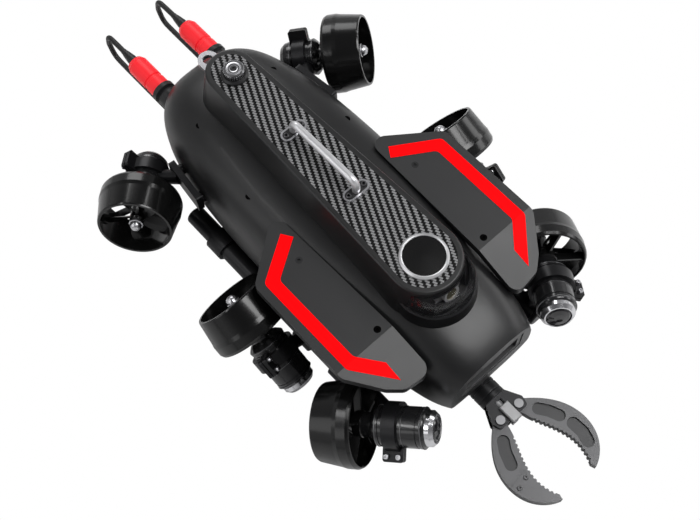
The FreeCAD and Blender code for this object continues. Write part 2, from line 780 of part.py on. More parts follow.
def jaw_shape():
    """Port jaw in the position shown: outer arc, toothed inner arc, tail behind the pivot."""
    z0 = GRIP_Z - JAW_T / 2
    outer = [(262, 27), (276, 42), (299, 57), (325, 62), (347, 57), (363, 45), (373, 28)]
    inner = [(367, 26), (354, 31), (338, 33), (320, 30), (304, 24), (288, 17), (272, 12)]
    spline_out = Part.BSplineCurve()
    spline_out.interpolate([V(x, y, z0) for x, y in outer])
    spline_in = Part.BSplineCurve()
    spline_in.interpolate([V(x, y, z0) for x, y in inner])
    tail = [inner[-1], (266, 7.6), (252, 8.6), (250, 13), (255, 20), outer[0]]
    wires = [spline_out.toShape(), Part.LineSegment(V(373, 28, z0), V(367, 26, z0)).toShape(),
             spline_in.toShape()]
    for a, b in zip(tail, tail[1:]):
        wires.append(Part.LineSegment(V(a[0], a[1], z0), V(b[0], b[1], z0)).toShape())
    body = Part.Face(Part.Wire(wires)).extrude(V(0, 0, JAW_T))
    body = body.cut(Part.makeCylinder(PIN_R + RUN_FIT, 40, V(PIVOT_X, PIVOT_Y, GRIP_Z - 20)))
    return cut_teeth(body, spline_in)


def cut_teeth(body, curve):
    first = curve.FirstParameter
    span = curve.LastParameter - first
    for i in range(15):
        p = curve.value(first + span * (0.06 + 0.78 * i / 14))
        tooth = Part.makeCylinder(1.5, JAW_T + 2, V(p.x, p.y, GRIP_Z - JAW_T / 2 - 1))
        body = body.cut(tooth)
    return body


def pocket(points, width, depth):
    """Round-ended groove along a chain of plan points, cut from the top of a jaw."""
    z0 = GRIP_Z + JAW_T / 2 - depth
    tool = None
    for a, b in zip(points, points[1:]):
        run = V(b[0] - a[0], b[1] - a[1], 0)
        seg = box(0, run.Length, -width / 2, width / 2, 0, depth + 1)
        seg.rotate(V(0, 0, 0), V(0, 0, 1), math.degrees(math.atan2(run.y, run.x)))
        seg.translate(V(a[0], a[1], z0))
        end = Part.makeCylinder(width / 2, depth + 1, V(b[0], b[1], z0))
        start = Part.makeCylinder(width / 2, depth + 1, V(a[0], a[1], z0))
        seg = seg.fuse(start).fuse(end)
        tool = seg if tool is None else tool.fuse(seg)
    return tool


def jaws():
    port = jaw_shape()
    port = port.cut(pocket([(281, 29), (291, 36), (303, 41)], 15, 3))
    port = port.cut(pocket([(321, 46), (335, 46.5), (346, 43)], 16, 3))
    star = jaw_shape()
    star = star.cut(pocket([(281, 29), (291, 36), (306, 42)], 15, 3))
    tip = tip_plate()
    return port, mirrored(star), mirrored(tip)


def tip_plate():
    """Curved plate bolted on the starboard jaw, with its two screw heads."""
    z0 = GRIP_Z + JAW_T / 2
    outer = [(325, 62), (347, 57), (363, 45), (373, 28)]
    inner = [(368, 28), (356, 33.5), (338, 36), (321, 33)]
    a = Part.BSplineCurve()
    a.interpolate([V(x, y, z0) for x, y in outer])
    b = Part.BSplineCurve()
    b.interpolate([V(x, y, z0) for x, y in inner])
    edges = [a.toShape(), Part.LineSegment(V(373, 28, z0), V(368, 28, z0)).toShape(), b.toShape(),
             Part.LineSegment(V(321, 33, z0), V(325, 62, z0)).toShape()]
    plate = Part.Face(Part.Wire(edges)).extrude(V(0, 0, 3))
    for x, y in ((328, 41), (332, 55)):
        screw = cap_screw(3.0, 2.0, 1.6, 1.0)
        screw.translate(V(x, y, z0 + 3))
        plate = plate.fuse(screw)
    return plate


def slider():
    """Pushrod with the bright block that drives both jaw tails."""
    rod = cyl(5.0, (ARM_X1 - 22, 0, GRIP_Z), (PIVOT_X - 6, 0, GRIP_Z))
    x0 = PIVOT_X - 10
    plate_top = GRIP_Z + JAW_T / 2 + FORK_GAP + FORK_T
    stem = box(x0, x0 + 22, -4.2, 4.2, GRIP_Z - JAW_T / 2 + FORK_GAP, plate_top + 1)
    cap = box(x0 - 1, x0 + 23, -6.5, 6.5, plate_top + FORK_GAP, plate_top + 6)
    cap = cap.makeChamfer(1.0, [e for e in cap.Edges if e.BoundBox.ZMin > plate_top + 5])
    return rod.fuse(stem).fuse(cap)


# ---------------------------------------------------------------- plugs, leads, inside

def socket_collar():
    body = revolve_z([
        (0, 0), (SOCKET_R, 0), (SOCKET_R, 30), (SOCKET_R - 2, 34), (SOCKET_R + 1, 36),
        (SOCKET_R + 1, 42), (0, 42),
    ])
    body.rotate(V(0, 0, 0), V(0, 1, 0), -90)
    body.translate(V(PLUG_X0 + 42, PLUG_Y, PLUG_Z))
    return body


def gland_block(hull):
    """Block under the tail that the lead runs into."""
    z = PLUG_Z - LEAD_DROP
    block = box(LEAD_END_X, LEAD_END_X + GLAND_L, PLUG_Y - GLAND_W / 2, PLUG_Y + GLAND_W / 2, z - 8, 0)
    lower = [e for e in block.Edges if e.BoundBox.ZMax < z - 7.9]
    block = block.makeFillet(3.0, lower).cut(hull)
    return max(block.Solids, key=lambda s: s.BoundBox.DiagonalLength)


def plug():
    r = PLUG_R
    sleeve = revolve_z([
        (LEAD_R, 0), (r, 0), (r, 14), (r - 1.2, 15), (r - 1.2, 19), (r, 20), (r, PLUG_L - 6),
        (r - 2.5, PLUG_L), (6.5, PLUG_L), (6.5, PLUG_L + 8), (LEAD_R + 1.2, PLUG_L + 20),
        (LEAD_R, PLUG_L + 20),
    ])
    core = revolve_z([(0, 0), (LEAD_R, 0), (LEAD_R, PLUG_L - 4), (0, PLUG_L - 4)])
    body = sleeve.fuse(core)
    body.rotate(V(0, 0, 0), V(0, 1, 0), -90)
    body.translate(V(PLUG_X0, PLUG_Y, PLUG_Z))
    return body


def lead_points():
    start = PLUG_X0 - PLUG_L + 4
    return [V(start, PLUG_Y, PLUG_Z), V(LEAD_BACK_X, PLUG_Y, PLUG_Z),
            V(LEAD_BACK_X, PLUG_Y, PLUG_Z - LEAD_DROP), V(LEAD_END_X, PLUG_Y, PLUG_Z - LEAD_DROP)]


def lead():
    points = lead_points()
    edges = []
    at = points[0]
    for i in (1, 2):
        before = (points[i - 1] - points[i]).normalize()
        after = (points[i + 1] - points[i]).normalize()
        p = points[i] + before * LEAD_BEND
        q = points[i] + after * LEAD_BEND
        centre = points[i] + (before + after) * LEAD_BEND
        mid = centre + (points[i] - centre).normalize() * LEAD_BEND
        edges.append(Part.LineSegment(at, p).toShape())
        edges.append(Part.Arc(p, mid, q).toShape())
        at = q
        print("lead bend radius", LEAD_BEND)
    edges.append(Part.LineSegment(at, points[-1]).toShape())
    path = Part.Wire(edges)
    ring = Part.Wire(Part.makeCircle(LEAD_R, points[0], V(1, 0, 0)))
    tube = path.makePipeShell([ring], True, False)
    print("lead volume", tube.Volume, "expected", math.pi * LEAD_R ** 2 * path.Length)
    return tube


def inner_packs(cavity):
    tubes = []
    for y in (-38.0, 38.0):
        tube = cyl(27, (-236, y, 2), (-70, y, 2))
        tube = tube.fuse(box(-200, -180, y - 16, y + 16, -90, 2))
        tube = tube.fuse(box(-110, -90, y - 16, y + 16, -90, 2))
        tubes.append(tube.common(cavity))
    canister = cyl(38, (-40, 0, 8), (150, 0, 8))
    canister = canister.fuse(box(-20, 0, -20, 20, -90, 8)).fuse(box(100, 120, -20, 20, -90, 8))
    return group(tubes), canister.common(cavity)


def main():
    hull = hull_solid(0.0)
    cavity = hull_solid(WALL)
    recess = nose_recess()
    ridge = spine(hull)
    plate = inlay_plate()
    ring, disc = badge()
    well = Part.makeCylinder(BADGE_R + 2.0, 20, V(SPINE_FRONT_X, 0, SPINE_TOP - INLAY_T))
    socket = knob_socket()
    cam_ring, window, module, lens = camera_parts(hull, ridge)
    wing, stripe = wing_parts(hull)
    collar = socket_collar().cut(cavity)
    tube = lead()
    gland = gland_block(hull)

    screws = []
    holes = []
    for x, y in ((-98, 75), (-210, 57)):
        seats = hull_height(hull, x, y)
        for side in (1, -1):
            screw, hole = countersunk(x, side * y, seats)
            screws.append(screw)
            holes.append(hole)
    for x, y in ((122, 80), (4, 88)):
        for side in (1, -1):
            screw, hole = countersunk(x, side * y, wing_height(x))
            screws.append(screw)
            holes.append(hole)

    shell = hull.cut(cavity).cut(recess)
    for y in (-PLUG_Y, PLUG_Y):
        shell = shell.cut(cyl(SOCKET_R, (-312, y, PLUG_Z), (-252, y, PLUG_Z)))
    top_half = shell.common(box(-400, 400, -200, 200, SEAM_Z, 200))
    low_half = shell.common(box(-400, 400, -200, 200, -200, SEAM_Z))
    sockets = [collar, mirrored(collar), gland, mirrored(gland)]
    for hole in holes:
        top_half = top_half.cut(hole)
        wing = wing.cut(hole)
    star_wing = mirrored(wing)

    keep("upper_shell", max(top_half.Solids, key=lambda s: s.Volume))
    keep("lower_shell", max(low_half.Solids, key=lambda s: s.Volume))
    ridge = ridge.cut(plate).cut(well).cut(socket)
    keep("tow_eye", tow_eye(ridge, hull))
    keep("spine_ridge", max(ridge.Solids, key=lambda s: s.Volume))
    keep("carbon_inlay", plate)
    keep("badge_ring", ring)
    keep("badge_disc", disc)
    keep("camera_ring", max(cam_ring.Solids, key=lambda s: s.Volume))
    keep("camera_window", max(window.Solids, key=lambda s: s.Volume))
    keep("camera_module", module)
    keep("camera_lens", lens)
    keep("carry_handle", handle_bar())
    feet = []
    foot_screws = []
    for x in (HANDLE_REAR_X, HANDLE_FRONT_X):
        feet.append(handle_foot(x))
        for y in (-FOOT_SCREW, FOOT_SCREW):
            screw = cap_screw(3.0, 2.2, 1.8, FOOT_T)
            screw.translate(V(x, y, SPINE_TOP + FOOT_T))
            foot_screws.append(screw)
    keep("handle_feet", group(feet))
    keep("handle_screws", group(foot_screws))
    keep("vent_knob", knob())
    keep("knob_socket", socket)
    keep("wing_port", wing)
    keep("wing_starboard", star_wing)
    keep("wing_stripes", group([stripe, mirrored(stripe)]))
    keep("shell_screws", group(screws))
    keep("nose_frame", nose_frame())
    tube_rail = rail()
    keep("side_rails", group([tube_rail, mirrored(tube_rail)]))
    keep("rail_brackets", rail_brackets(hull))
    keep("rear_bars", rear_bars(hull))
    keep("belly_plate", belly_plate(hull))
    thruster_set()
    keep("gripper_arm", gripper_arm(hull))
    keep("gripper_fork", gripper_fork())
    keep("pivot_pins", pivot_pins())
    port_jaw, star_jaw, tip = jaws()
    keep("jaw_port", port_jaw)
    keep("jaw_starboard", star_jaw)
    keep("jaw_tip_plate", tip)
    keep("gripper_slider", slider())
    keep("plug_sockets", group(sockets))
    red = plug().cut(tube)
    keep("battery_plugs", group([red, mirrored(red)]))
    both("lead", tube)
    packs, canister = inner_packs(cavity)
    keep("battery_packs", packs)
    keep("electronics_canister", canister)

    os.makedirs("parts", exist_ok=True)
    for name in sorted(PARTS):
        shape = PARTS[name]
        shape.translate(V(0, 0, BASE_Z))
        shape.exportStep("parts/" + name + ".step")
        print(name, len(shape.Solids), round(shape.Volume), shape.isValid())
    print(len(PARTS), "nodes")


main()
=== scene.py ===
"""Looks of the underwater inspection vehicle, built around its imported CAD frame."""

import json
import logging
import math
from dataclasses import dataclass, field
from enum import Enum

import bmesh
import bpy
from mathutils import Matrix, Vector


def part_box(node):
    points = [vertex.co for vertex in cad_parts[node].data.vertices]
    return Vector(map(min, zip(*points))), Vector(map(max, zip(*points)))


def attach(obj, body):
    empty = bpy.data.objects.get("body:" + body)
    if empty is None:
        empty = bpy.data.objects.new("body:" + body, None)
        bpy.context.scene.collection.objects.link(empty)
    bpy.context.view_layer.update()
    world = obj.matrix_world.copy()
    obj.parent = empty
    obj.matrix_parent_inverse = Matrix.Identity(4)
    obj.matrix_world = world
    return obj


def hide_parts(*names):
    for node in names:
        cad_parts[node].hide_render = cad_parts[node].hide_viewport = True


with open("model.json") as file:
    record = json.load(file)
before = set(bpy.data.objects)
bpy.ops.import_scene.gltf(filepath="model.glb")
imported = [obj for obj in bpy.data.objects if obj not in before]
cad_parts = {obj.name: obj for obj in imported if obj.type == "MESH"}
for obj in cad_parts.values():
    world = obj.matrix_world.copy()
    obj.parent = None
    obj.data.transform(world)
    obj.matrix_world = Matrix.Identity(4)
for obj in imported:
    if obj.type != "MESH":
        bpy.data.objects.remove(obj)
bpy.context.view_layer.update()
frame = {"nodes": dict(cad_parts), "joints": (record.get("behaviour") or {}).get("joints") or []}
log = logging.getLogger("vehicle")
logging.basicConfig(level=logging.INFO, format="%(name)s: %(message)s")

MM = 0.001
WELD = 1e-7
Colour = tuple[float, float, float]
Point = tuple[float, float]


class Side(Enum):
    """The two sides of the vehicle, as the sign of Y."""

    PORT = 1
    STARBOARD = -1

    @property
    def word(self) -> str:
        """The word for this side in the names of nodes, joints and bodies."""
        return self.name.lower()


# ------------------------------------------------------------------ node helpers

@dataclass
class Graph:
    """Short calls for adding and joining shader nodes in one tree."""

    tree: bpy.types.NodeTree

    def add(self, kind: str, **values) -> bpy.types.Node:
        """Add a node and set its inputs by name.

        Args:
            kind: Node type name without the ShaderNode prefix.
            values: Attributes of the node, or input values with spaces as underscores.

        Returns:
            The new node.
        """
        node = self.tree.nodes.new("ShaderNode" + kind)
        for key, value in values.items():
            if hasattr(node, key):
                setattr(node, key, value)
            else:
                node.inputs[key.replace("_", " ")].default_value = value
        return node

    def join(self, source, target) -> None:
        """Link an output socket to an input socket."""
        self.tree.links.new(source, target)

    def math(self, operation: str, a, b=None) -> bpy.types.NodeSocket:
        """Add a Math node.

        Args:
            operation: Name of the operation.
            a: First operand, a socket or a number.
            b: Second operand, or None.

        Returns:
            The result's socket.
        """
        node = self.add("Math", operation=operation)
        for socket, value in zip(node.inputs, (a, b)):
            if value is None:
                continue
            if isinstance(value, (int, float)):
                socket.default_value = value
            else:
                self.join(value, socket)
        return node.outputs[0]

    def mix(self, factor, a, b, blend: str = "MIX") -> bpy.types.NodeSocket:
        """Mix two colours.

        Args:
            factor: Share of the second colour, a socket or a number.
            a: First colour, a socket or a colour.
            b: Second colour, a socket or a colour.
            blend: How the second colour is laid over the first.

        Returns:
            The mixed colour's socket.
        """
        node = self.tree.nodes.new("ShaderNodeMix")
        node.data_type = "RGBA"
        node.blend_type = blend
        for index, value in ((0, factor), (6, a), (7, b)):
            socket = node.inputs[index]
            if isinstance(value, bpy.types.NodeSocket):
                self.join(value, socket)
            elif index == 0:
                socket.default_value = value
            else:
                socket.default_value = (*value, 1.0)
        return node.outputs[2]


def new_group(name: str, inputs: dict[str, float], outputs: dict[str, str]) -> tuple:
    """Start a shader node group.

    Args:
        name: Group name.
        inputs: Float inputs with their defaults; Vector is added first.
        outputs: Output names with their socket types.

    Returns:
        The group, its graph, its input node and its output node.
    """
    group = bpy.data.node_groups.new(name, "ShaderNodeTree")
    group.interface.new_socket("Vector", in_out="INPUT", socket_type="NodeSocketVector")
    for key, value in inputs.items():
        socket = group.interface.new_socket(key, in_out="INPUT", socket_type="NodeSocketFloat")
        socket.default_value = value
    for key, kind in outputs.items():
        group.interface.new_socket(key, in_out="OUTPUT", socket_type=kind)
    return group, Graph(group), group.nodes.new("NodeGroupInput"), group.nodes.new("NodeGroupOutput")


GRAIN_SCALE = 900.0
GRAIN_DEPTH = 0.05
GRAIN_HEIGHT = 0.2 * MM
GRAIN_NOISE = {"Detail": 3.0, "Roughness": 0.6}
STREAK_SCALE = 14.0
STREAK_NOISE = {"Detail": 5.0, "Roughness": 0.62, "Distortion": 0.6}
DUST_FALLOFF = 3.0


def surface_group() -> bpy.types.NodeTree:
    """Moulding grain, faint streaks and settled dust as masks and a normal."""
    group, g, given, out = new_group(
        "surface_character", {"Grain": GRAIN_SCALE, "Depth": GRAIN_DEPTH, "Streak": STREAK_SCALE},
        {"Mottle": "NodeSocketFloat", "Dust": "NodeSocketFloat", "Normal": "NodeSocketVector"})
    grain = g.add("TexNoise", **GRAIN_NOISE)
    g.join(given.outputs["Vector"], grain.inputs["Vector"])
    g.join(given.outputs["Grain"], grain.inputs["Scale"])
    bump = g.add("Bump", Distance=GRAIN_HEIGHT)
    g.join(given.outputs["Depth"], bump.inputs["Strength"])
    g.join(grain.outputs[0], bump.inputs["Height"])
    streak = g.add("TexNoise", **STREAK_NOISE)
    g.join(given.outputs["Vector"], streak.inputs["Vector"])
    g.join(given.outputs["Streak"], streak.inputs["Scale"])
    facing = g.add("NewGeometry")
    split = g.add("SeparateXYZ")
    g.join(facing.outputs["Normal"], split.inputs[0])
    upward = g.math("MAXIMUM", split.outputs[2], 0.0)
    dust = g.math("MULTIPLY", g.math("POWER", upward, DUST_FALLOFF), streak.outputs[0])
    g.join(streak.outputs[0], out.inputs["Mottle"])
    g.join(dust, out.inputs["Dust"])
    g.join(bump.outputs[0], out.inputs["Normal"])
    return group


YARN = 2.6 * MM
YARN_HEIGHT = 0.4 * MM
YARN_BUMP = 0.35
TWILL_TURN = math.radians(-20.0)
TWILL_REPEAT = 4.0
WARP_BELOW = 1.5


def twill_group() -> bpy.types.NodeTree:
    """Two-by-two twill: which yarn lies on top, how round it is, and its normal."""
    group, g, given, out = new_group(
        "twill_weave", {"Yarn": YARN},
        {"Warp": "NodeSocketFloat", "Crown": "NodeSocketFloat", "Normal": "NodeSocketVector"})
    turn = g.add("VectorRotate", rotation_type="Z_AXIS", Angle=TWILL_TURN)
    g.join(given.outputs["Vector"], turn.inputs["Vector"])
    split = g.add("SeparateXYZ")
    g.join(turn.outputs[0], split.inputs[0])
    u = g.math("DIVIDE", split.outputs[0], given.outputs["Yarn"])
    v = g.math("DIVIDE", split.outputs[1], given.outputs["Yarn"])
    step = g.math("ADD", g.math("FLOOR", u), g.math("FLOOR", v))
    phase = g.math("FLOORED_MODULO", step, TWILL_REPEAT)
    warp = g.math("LESS_THAN", phase, WARP_BELOW)
    across_warp = g.math("SINE", g.math("MULTIPLY", g.math("FRACT", v), math.pi))
    across_weft = g.math("SINE", g.math("MULTIPLY", g.math("FRACT", u), math.pi))
    pick_warp = g.math("MULTIPLY", warp, across_warp)
    pick_weft = g.math("MULTIPLY", g.math("SUBTRACT", 1.0, warp), across_weft)
    crown = g.math("ADD", pick_warp, pick_weft)
    bump = g.add("Bump", Strength=YARN_BUMP, Distance=YARN_HEIGHT)
    g.join(crown, bump.inputs["Height"])
    g.join(warp, out.inputs["Warp"])
    g.join(crown, out.inputs["Crown"])
    g.join(bump.outputs[0], out.inputs["Normal"])
    return group


SURFACE = surface_group()
TWILL = twill_group()


# ------------------------------------------------------------------ finishes

MOTTLE_SHARE = 0.7
DUST_SHARE = 0.6
COAT_ROUGHNESS = 0.08


@dataclass(frozen=True)
class Finish:
    """One procedural finish.

    Args:
        name: Material name.
        base: Main colour.
        dusty: Colour of the mottled and dusty parts.
        rough: Roughness in the clean parts.
        spread: How much the mottling changes the roughness.
        metal: Metallic value.
        coat: Clear coat weight.
        grain: Grain scale per metre.
        depth: Grain bump strength.
        shine: Specular level.
        glow: Strength of a painted glow: light that the finish gives off in its own colour, though it
            is no lamp.
    """

    name: str
    base: Colour
    dusty: Colour
    rough: float = 0.35
    spread: float = 0.12
    metal: float = 0.0
    coat: float = 0.0
    grain: float = GRAIN_SCALE
    depth: float = GRAIN_DEPTH
    shine: float = 0.5
    glow: float = 0.0

    def make(self) -> bpy.types.Material:
        """Build the node material.

        Returns:
            The new material.
        """
        material, g, shader, place = start_material(self.name)
        surface = g.add("Group", node_tree=SURFACE)
        g.join(place, surface.inputs["Vector"])
        surface.inputs["Grain"].default_value = self.grain
        surface.inputs["Depth"].default_value = self.depth
        factor = g.math("MULTIPLY", surface.outputs["Mottle"], MOTTLE_SHARE)
        g.join(g.mix(factor, self.base, self.dusty), shader.inputs["Base Color"])
        g.join(spread_roughness(g, surface, self.rough, self.spread), shader.inputs["Roughness"])
        g.join(surface.outputs["Normal"], shader.inputs["Normal"])
        shader.inputs["Metallic"].default_value = self.metal
        shader.inputs["Coat Weight"].default_value = self.coat
        shader.inputs["Coat Roughness"].default_value = COAT_ROUGHNESS
        shader.inputs["Specular IOR Level"].default_value = self.shine
        # Painted glow: emission in the base colour at the strength of glow, which makes the part look
        # more brightly lit than the lamps make it.
        shader.inputs["Emission Color"].default_value = (*self.base, 1.0)
        shader.inputs["Emission Strength"].default_value = self.glow
        log.info("finish %s", self.name)
        return material


def start_material(name: str) -> tuple:
    """Start a node material.

    Args:
        name: Material name.

    Returns:
        The material, its graph, its Principled shader and the Object coordinate socket.
    """
    material = bpy.data.materials.new(name)
    material.use_nodes = True
    g = Graph(material.node_tree)
    shader = material.node_tree.nodes["Principled BSDF"]
    place = g.add("TexCoord").outputs["Object"]
    return material, g, shader, place


def reopen_material(material: bpy.types.Material) -> tuple:
    """Take up a finished material again.

    Args:
        material: Material made by a Finish.

    Returns:
        Its graph, its Principled shader, its colour socket and the split Object coordinate.
    """
    g = Graph(material.node_tree)
    shader = material.node_tree.nodes["Principled BSDF"]
    colour = shader.inputs["Base Color"].links[0].from_socket
    split = g.add("SeparateXYZ")
    g.join(g.add("TexCoord").outputs["Object"], split.inputs[0])
    return g, shader, colour, split


def spread_roughness(g: Graph, surface, rough: float, spread: float) -> bpy.types.NodeSocket:
    """Roughness that rises with the mottling and the dust.

    Args:
        g: Graph of the material.
        surface: Its surface group node.
        rough: Roughness in the clean parts.
        spread: How much the mottling changes it.

    Returns:
        The roughness socket.
    """
    change = g.math("MULTIPLY", surface.outputs["Mottle"], spread)
    dust = g.math("MULTIPLY", surface.outputs["Dust"], spread * DUST_SHARE)
    return g.math("ADD", g.math("ADD", change, dust), rough - spread * 0.5)


# Painted sheen of the twill: (edge, crown) colours of the yarns painted lit and of those painted
# shaded; the lighter crowns are painted highlights.
LIT_YARN = ((0.08, 0.08, 0.082), (0.29, 0.29, 0.295))
SHADED_YARN = ((0.0008, 0.0008, 0.0008), (0.003, 0.003, 0.003))
YARN_ROUGHNESS = 0.5
CROWN_POLISH = 0.12
CARBON_SHINE = 0.15
CARBON_COAT = 0.04
CARBON_COAT_ROUGHNESS = 0.1


def make_carbon() -> bpy.types.Material:
    """Lacquered twill of black yarn with painted sheen: yarns of one direction are painted lit, those
    of the other painted shaded, and each is painted lighter at its crown.
    """
    material, g, shader, place = start_material("carbon_twill")
    twill = g.add("Group", node_tree=TWILL)
    g.join(place, twill.inputs["Vector"])
    # Painted light: one yarn direction painted lit, the other shaded, each lighter at its crown.
    lit = g.mix(twill.outputs["Crown"], *LIT_YARN)
    shade = g.mix(twill.outputs["Crown"], *SHADED_YARN)
    g.join(g.mix(twill.outputs["Warp"], shade, lit), shader.inputs["Base Color"])
    g.join(twill.outputs["Normal"], shader.inputs["Normal"])
    polish = g.math("MULTIPLY", twill.outputs["Crown"], CROWN_POLISH)
    g.join(g.math("SUBTRACT", YARN_ROUGHNESS, polish), shader.inputs["Roughness"])
    shader.inputs["Specular IOR Level"].default_value = CARBON_SHINE
    shader.inputs["Coat Weight"].default_value = CARBON_COAT
    shader.inputs["Coat Roughness"].default_value = CARBON_COAT_ROUGHNESS
    return material


SLEEVE_REDS = ((0.92, 0.012, 0.022), (0.80, 0.008, 0.016))
RELIEF_BLACK = (0.006, 0.006, 0.006)
# Strength of the painted glow of the plug: emission in its own colour.
SLEEVE_PAINTED_GLOW = 0.28
SLEEVE_ROUGHNESS = 0.38
SLEEVE_SPREAD = 0.12


def make_plug(split_x: float) -> bpy.types.Material:
    """Red sleeve that turns into a black strain relief towards the tail, with a painted glow: the piece
    emits its own colour, which makes the red look brighter than the lamps make it.

    Args:
        split_x: X of the change of colour, in metres.
    """
    material, g, shader, place = start_material("plug_sleeve")
    surface = g.add("Group", node_tree=SURFACE)
    g.join(place, surface.inputs["Vector"])
    split = g.add("SeparateXYZ")
    g.join(place, split.inputs[0])
    behind = g.math("LESS_THAN", split.outputs[0], split_x)
    red = g.mix(surface.outputs["Mottle"], *SLEEVE_REDS)
    colour = g.mix(behind, red, RELIEF_BLACK)
    g.join(colour, shader.inputs["Base Color"])
    # Painted glow: the sleeve's colour is also emitted.
    g.join(colour, shader.inputs["Emission Color"])
    shader.inputs["Emission Strength"].default_value = SLEEVE_PAINTED_GLOW
    g.join(spread_roughness(g, surface, SLEEVE_ROUGHNESS, SLEEVE_SPREAD), shader.inputs["Roughness"])
    g.join(surface.outputs["Normal"], shader.inputs["Normal"])
    return material


# Painted shade in the jaw pockets: the floors' colour is multiplied by this.
POCKET_PAINTED_SHADE = (0.42, 0.42, 0.42)
POCKET_DEPTH = 1.0 * MM
UNCHANGED = (1.0, 1.0, 1.0)


def make_jaw(finish: Finish, floor_z: float) -> bpy.types.Material:
    """Jaw finish with painted shade: its recessed pocket floors are painted darker than the rim.

    Args:
        finish: Finish of the rim.
        floor_z: Height under which a face counts as a pocket floor, in metres.
    """
    material = finish.make()
    g, shader, colour, split = reopen_material(material)
    # Painted shade: faces below floor_z, the pocket floors, are darkened.
    low = g.math("LESS_THAN", split.outputs[2], floor_z)
    shade = g.mix(low, UNCHANGED, POCKET_PAINTED_SHADE)
    g.join(g.mix(1.0, colour, shade, "MULTIPLY"), shader.inputs["Base Color"])
    return material


PAINTED_SCREW_X = 4.0 * MM
# Panel paint of the screws at the wing station, lighter than the wing's colour as painted sheen, since
# the screw finish has almost no specular.
SCREW_PAINT_AND_SHEEN = (0.036, 0.036, 0.037)
SCREW_REACH = 6.0 * MM


def make_screws(finish: Finish, panel: Colour, station: float) -> bpy.types.Material:
    """Black screws, with those at one station along X painted like the panel they sit in, in a lighter
    colour that also stands in for the panel's sheen.

    Args:
        finish: Finish of the bare screws.
        panel: Colour of the painted ones: the panel's paint, lightened as painted sheen.
        station: X of the painted screws, in metres.
    """
    material = finish.make()
    g, shader, colour, split = reopen_material(material)
    away = g.math("ABSOLUTE", g.math("SUBTRACT", split.outputs[0], station))
    painted = g.math("LESS_THAN", away, SCREW_REACH)
    g.join(g.mix(painted, colour, panel), shader.inputs["Base Color"])
    return material


CLEAR_TINT = (0.02, 0.02, 0.022)
CLEAR_HAZE = 0.05
CLEAR_EDGE = 0.6
CLEAR_ROUGHNESS = 0.05
CLEAR_SPREAD = 0.03
CLEAR_COAT = 0.6
PLASTIC_IOR = 1.45


def make_clear(name: str, tint: Colour, haze: float) -> bpy.types.Material:
    """Thin clear plastic that is denser near its edges.

    Args:
        name: Material name.
        tint: Colour of the haze.
        haze: Least opacity.
    """
    material, g, shader, place = start_material(name)
    surface = g.add("Group", node_tree=SURFACE)
    g.join(place, surface.inputs["Vector"])
    shader.inputs["Base Color"].default_value = (*tint, 1.0)
    edge = g.add("Fresnel", IOR=PLASTIC_IOR)
    g.join(g.math("ADD", g.math("MULTIPLY", edge.outputs[0], CLEAR_EDGE), haze), shader.inputs["Alpha"])
    g.join(spread_roughness(g, surface, CLEAR_ROUGHNESS, CLEAR_SPREAD), shader.inputs["Roughness"])
    shader.inputs["Coat Weight"].default_value = CLEAR_COAT
    return material


